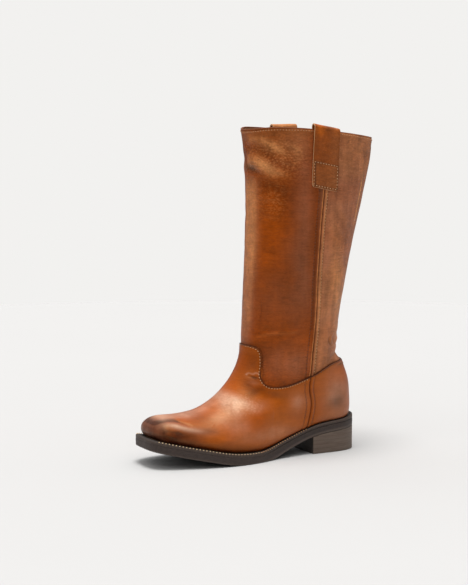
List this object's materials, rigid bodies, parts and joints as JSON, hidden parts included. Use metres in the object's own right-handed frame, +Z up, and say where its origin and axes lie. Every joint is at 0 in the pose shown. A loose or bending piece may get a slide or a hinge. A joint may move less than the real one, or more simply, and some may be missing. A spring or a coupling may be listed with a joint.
{
  "type": "mid-calf boot",
  "caption": "Pull-on leather mid-calf boot with a soft square toe, vamp with a curved tongue top, corded side seam, side pull straps, stitched welt and a low block heel.",
  "frame": {"origin": "on the floor plane, under the middle of the boot's bounding box", "axes": "+Z up along the shaft, toe towards -Y, heel towards +Y, outer (lateral) side of this left boot towards +X"},
  "size_m": [0.1096, 0.2982, 0.3915],
  "materials": {
    "sole_rubber": "dark brown rubber, satin, fine grain along the edge",
    "welt_leather": "dark brown dressed leather edge with cream stitching on its top face",
    "heel_stack": "stacked heel, grey brown, fine level layers, satin",
    "insole_leather": "plain tan leather, matt",
    "vamp_leather": "smooth cognac leather, hand burnished darker at toe, seams and welt, polished",
    "shaft_leather": "fine grained brown leather with amber patches, semi-gloss",
    "strap_leather": "doubled brown leather with paler cut edges",
    "thread_cream": "waxed cream thread of the vamp edge and welt stitches",
    "thread_brown": "dark brown thread of the seams and straps",
    "lining_leather": "plain tan lining leather, matt"
  },
  "bodies": {
    "root": {"outsole": "sole_rubber", "welt": "welt_leather", "heel_block": "heel_stack", "insole": "insole_leather", "upper": "vamp_leather", "shaft": "shaft_leather", "pull_strap_lateral": "strap_leather", "pull_strap_medial": "strap_leather"}
  },
  "joints": []
}
